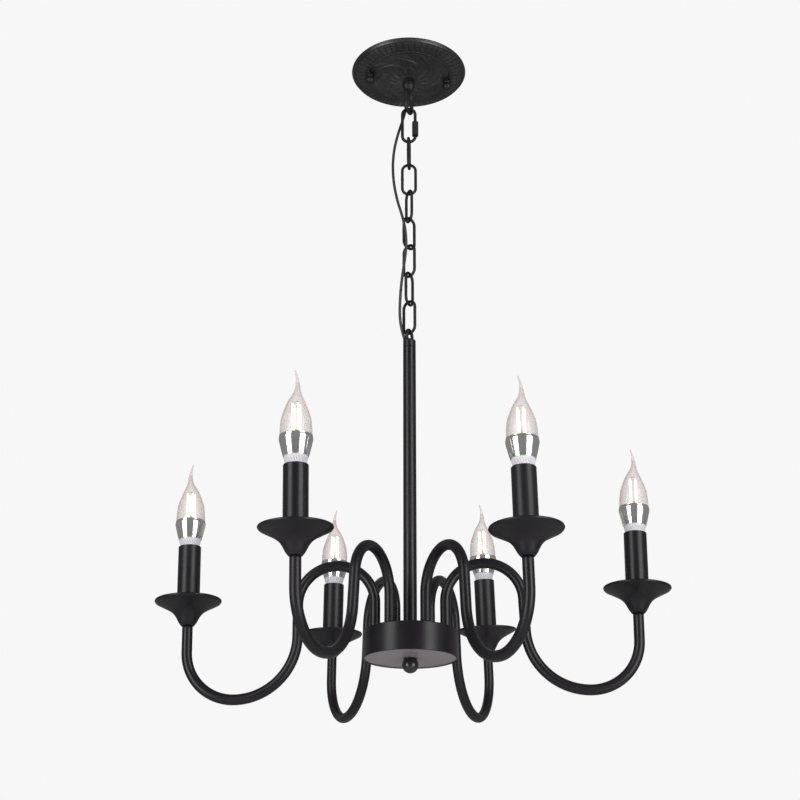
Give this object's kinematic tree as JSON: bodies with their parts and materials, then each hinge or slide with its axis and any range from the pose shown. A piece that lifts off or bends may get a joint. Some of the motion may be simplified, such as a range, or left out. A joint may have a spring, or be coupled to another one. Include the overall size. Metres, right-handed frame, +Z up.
{
  "type": "chandelier",
  "caption": "Black chain-hung chandelier: swan-neck tube arms rise from a drum hub to flared cups, candle sleeves and flame-shaped screw lamps.",
  "frame": {"origin": "centre of the mounting strap's upper face, which lies in the plane of the ceiling and of the canopy's rim", "axes": "+Z up, into the ceiling; +X along the mounting strap, to the right as the light is seen from the front; +Y away from the front"},
  "size_m": [0.5871, 0.5436, 0.8387],
  "materials": {
    "black_satin": "satin black powder coat",
    "hub_underside": "satin charcoal plate under the hub",
    "black_gloss": "gloss black enamel",
    "candle_black": "satin black candle sleeve",
    "zinc_steel": "bright zinc plated",
    "lead_jacket": "black flexible jacket",
    "bush_plastic": "black moulded bush",
    "terminal_plastic": "off-white moulded",
    "holder_plastic": "black moulded thermoset",
    "lamp_glass": "clear thin glass",
    "lamp_chrome": "mirror plated lamp collar",
    "contact_brass": "plain brass contact"
  },
  "bodies": {
    "canopy": {"mounting_strap": "zinc_steel", "strap_studs": "zinc_steel", "canopy": "black_satin", "canopy_cap_nuts": "black_satin", "canopy_loop": "black_satin", "canopy_loop_nut": "zinc_steel", "lead_bush": "bush_plastic", "terminal_block": "terminal_plastic", "supply_lead": "lead_jacket"},
    "quick_link": {"quick_link": "black_satin"},
    "quick_link_nut": {"quick_link_nut": "black_satin"},
    "chain_link_1": {"chain_link_1": "black_satin"},
    "chain_link_2": {"chain_link_2": "black_satin"},
    "chain_link_3": {"chain_link_3": "black_satin"},
    "chain_link_4": {"chain_link_4": "black_satin"},
    "chain_link_5": {"chain_link_5": "black_satin"},
    "chain_link_6": {"chain_link_6": "black_satin"},
    "chain_link_7": {"chain_link_7": "black_satin"},
    "fixture": {"stem_loop": "black_satin", "stem": "black_satin", "hub_drum": "black_satin", "hub_cover": "hub_underside", "hub_nipple": "zinc_steel", "hub_nuts": "zinc_steel", "hub_connectors": "terminal_plastic", "finial": "black_gloss", "arm_1": "black_satin", "arm_2": "black_satin", "arm_3": "black_satin", "arm_4": "black_satin", "arm_5": "black_satin", "arm_6": "black_satin", "arm_nuts": "zinc_steel", "bobeche_1": "black_satin", "bobeche_2": "black_satin", "bobeche_3": "black_satin", "bobeche_4": "black_satin", "bobeche_5": "black_satin", "bobeche_6": "black_satin", "candle_sleeves": "candle_black", "lampholders": "holder_plastic"},
    "bulb_tip_1": {"bulb_contact_1": "contact_brass"},
    "bulb_1": {"bulb_glass_1": "lamp_glass", "bulb_base_1": "lamp_chrome"},
    "bulb_tip_2": {"bulb_contact_2": "contact_brass"},
    "bulb_2": {"bulb_glass_2": "lamp_glass", "bulb_base_2": "lamp_chrome"},
    "bulb_tip_3": {"bulb_contact_3": "contact_brass"},
    "bulb_3": {"bulb_glass_3": "lamp_glass", "bulb_base_3": "lamp_chrome"},
    "bulb_tip_4": {"bulb_contact_4": "contact_brass"},
    "bulb_4": {"bulb_glass_4": "lamp_glass", "bulb_base_4": "lamp_chrome"},
    "bulb_tip_5": {"bulb_contact_5": "contact_brass"},
    "bulb_5": {"bulb_glass_5": "lamp_glass", "bulb_base_5": "lamp_chrome"},
    "bulb_tip_6": {"bulb_contact_6": "contact_brass"},
    "bulb_6": {"bulb_glass_6": "lamp_glass", "bulb_base_6": "lamp_chrome"}
  },
  "joints": [
    {"name": "quick_link_sway", "type": "hinge", "parent": "canopy", "child": "quick_link", "pos_m": [0, 0, -0.0675], "axis": [0.3746, 0.9272, 0], "range_deg": [-12, 12], "deforming": ["supply_lead"]},
    {"name": "quick_link_nut_travel", "type": "slide", "parent": "quick_link", "child": "quick_link_nut", "axis": [0, 0, 1], "range_m": [0, 0.0085]},
    {"name": "chain_link_1_sway", "type": "hinge", "parent": "quick_link", "child": "chain_link_1", "pos_m": [0, 0, -0.1131], "axis": [1, 0, 0], "range_deg": [-12, 12], "deforming": ["supply_lead"]},
    {"name": "chain_link_2_sway", "type": "hinge", "parent": "chain_link_1", "child": "chain_link_2", "pos_m": [0, 0, -0.15225], "axis": [0.1045, 0.9945, 0], "range_deg": [-12, 12], "deforming": ["supply_lead"]},
    {"name": "chain_link_3_sway", "type": "hinge", "parent": "chain_link_2", "child": "chain_link_3", "pos_m": [0, 0, -0.19155], "axis": [1, 0, 0], "range_deg": [-12, 12], "deforming": ["supply_lead"]},
    {"name": "chain_link_4_sway", "type": "hinge", "parent": "chain_link_3", "child": "chain_link_4", "pos_m": [0, 0, -0.23085], "axis": [0.4067, -0.9135, 0], "range_deg": [-12, 12], "deforming": ["supply_lead"]},
    {"name": "chain_link_5_sway", "type": "hinge", "parent": "chain_link_4", "child": "chain_link_5", "pos_m": [0, 0, -0.27015], "axis": [0.7771, 0.6293, 0], "range_deg": [-12, 12], "deforming": ["supply_lead"]},
    {"name": "chain_link_6_sway", "type": "hinge", "parent": "chain_link_5", "child": "chain_link_6", "pos_m": [0, 0, -0.30945], "axis": [0.7771, -0.6293, 0], "range_deg": [-12, 12], "deforming": ["supply_lead"]},
    {"name": "chain_link_7_sway", "type": "hinge", "parent": "chain_link_6", "child": "chain_link_7", "pos_m": [0, 0, -0.34875], "axis": [0.4848, 0.8746, 0], "range_deg": [-12, 12], "deforming": ["supply_lead"]},
    {"name": "fixture_sway", "type": "hinge", "parent": "chain_link_7", "child": "fixture", "pos_m": [0, 0, -0.38805], "axis": [0.7986, -0.6018, 0], "range_deg": [-12, 12], "deforming": ["supply_lead"]},
    {"name": "bulb_1_travel", "type": "slide", "parent": "fixture", "child": "bulb_tip_1", "axis": [0.0226, -0.0014, 0.9997], "range_m": [0, 0.01482]},
    {"name": "bulb_1_screw", "type": "hinge", "parent": "bulb_tip_1", "child": "bulb_1", "pos_m": [0.25744, -0.0169, -0.64888], "axis": [0.0226, -0.0014, 0.9997], "range_deg": [0, 1890]},
    {"name": "bulb_2_travel", "type": "slide", "parent": "fixture", "child": "bulb_tip_2", "axis": [-0.0326, -0.0846, 0.9959], "range_m": [0, 0.01482]},
    {"name": "bulb_2_screw", "type": "hinge", "parent": "bulb_tip_2", "child": "bulb_2", "pos_m": [0.09644, 0.224, -0.63901], "axis": [-0.0326, -0.0846, 0.9959], "range_deg": [0, 1890]},
    {"name": "bulb_3_travel", "type": "slide", "parent": "fixture", "child": "bulb_tip_3", "axis": [0.0095, -0.0225, 0.9997], "range_m": [0, 0.01482]},
    {"name": "bulb_3_screw", "type": "hinge", "parent": "bulb_tip_3", "child": "bulb_3", "pos_m": [-0.09978, 0.23268, -0.64221], "axis": [0.0095, -0.0225, 0.9997], "range_deg": [0, 1890]},
    {"name": "bulb_4_travel", "type": "slide", "parent": "fixture", "child": "bulb_tip_4", "axis": [-0.0279, 0.0015, 0.9996], "range_m": [0, 0.01482]},
    {"name": "bulb_4_screw", "type": "hinge", "parent": "bulb_tip_4", "child": "bulb_4", "pos_m": [-0.25646, 0.01456, -0.65499], "axis": [-0.0279, 0.0015, 0.9996], "range_deg": [0, 1890]},
    {"name": "bulb_5_travel", "type": "slide", "parent": "fixture", "child": "bulb_tip_5", "axis": [-0.0194, -0.0429, 0.9989], "range_m": [0, 0.01482]},
    {"name": "bulb_5_screw", "type": "hinge", "parent": "bulb_tip_5", "child": "bulb_5", "pos_m": [-0.11433, -0.23583, -0.64363], "axis": [-0.0194, -0.0429, 0.9989], "range_deg": [0, 1890]},
    {"name": "bulb_6_travel", "type": "slide", "parent": "fixture", "child": "bulb_tip_6", "axis": [-0.0104, 0.0202, 0.9997], "range_m": [0, 0.01482]},
    {"name": "bulb_6_screw", "type": "hinge", "parent": "bulb_tip_6", "child": "bulb_6", "pos_m": [0.11493, -0.22557, -0.64332], "axis": [-0.0104, 0.0202, 0.9997], "range_deg": [0, 1890]}
  ],
  "couplings": [
    {"joint": "bulb_1_travel", "follows": "bulb_1_screw", "m_per_rad": 0.00044913},
    {"joint": "bulb_2_travel", "follows": "bulb_2_screw", "m_per_rad": 0.00044913},
    {"joint": "bulb_3_travel", "follows": "bulb_3_screw", "m_per_rad": 0.00044913},
    {"joint": "bulb_4_travel", "follows": "bulb_4_screw", "m_per_rad": 0.00044913},
    {"joint": "bulb_5_travel", "follows": "bulb_5_screw", "m_per_rad": 0.00044913},
    {"joint": "bulb_6_travel", "follows": "bulb_6_screw", "m_per_rad": 0.00044913}
  ]
}
